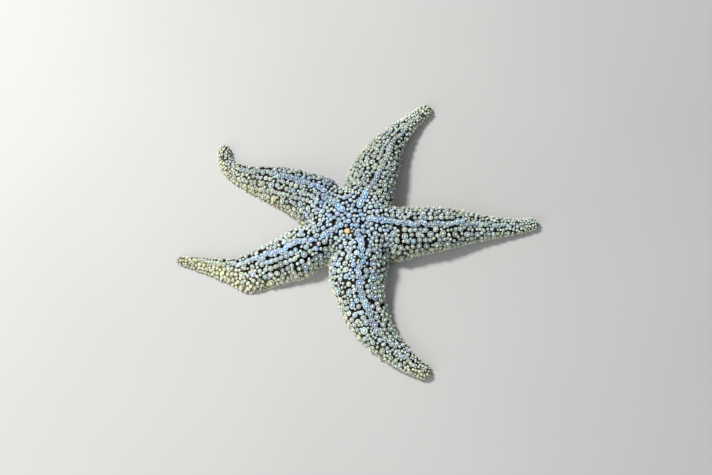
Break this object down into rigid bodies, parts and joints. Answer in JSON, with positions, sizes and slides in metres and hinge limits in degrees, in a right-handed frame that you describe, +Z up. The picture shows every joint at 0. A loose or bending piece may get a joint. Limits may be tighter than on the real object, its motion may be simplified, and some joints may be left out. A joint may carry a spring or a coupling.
{
  "type": "sea star",
  "caption": "Life-size still model of a giant-spined sea star lying flat, arms slightly curled, covered with short blunt spines; underneath, grooves with tube feet run to the mouth.",
  "frame": {"origin": "centre of the bounding box at floor level", "axes": "+Z up, away from the floor; +X along the arm that points to the right in the view from above"},
  "size_m": [0.3076, 0.266, 0.0288],
  "materials": {
    "spiny_skin": "wet, fleshy skin between the spines, dark brown to blue-grey, cream along the margins",
    "madreporite_plate": "matt limy plate with fine wavy furrows, ochre to cream",
    "mouth_lip": "soft, damp lip round the mouth",
    "tube_feet": "soft, slightly see-through feet with small suckers, honey to cream"
  },
  "bodies": {
    "root": {"disc": "spiny_skin", "madreporite": "madreporite_plate", "mouth": "mouth_lip", "arm_1_inner": "spiny_skin", "arm_1_outer": "spiny_skin", "tube_feet_1": "tube_feet", "arm_2_inner": "spiny_skin", "arm_2_outer": "spiny_skin", "tube_feet_2": "tube_feet", "arm_3_inner": "spiny_skin", "arm_3_outer": "spiny_skin", "tube_feet_3": "tube_feet", "arm_4_inner": "spiny_skin", "arm_4_outer": "spiny_skin", "tube_feet_4": "tube_feet", "arm_5_inner": "spiny_skin", "arm_5_outer": "spiny_skin", "tube_feet_5": "tube_feet"}
  },
  "joints": []
}
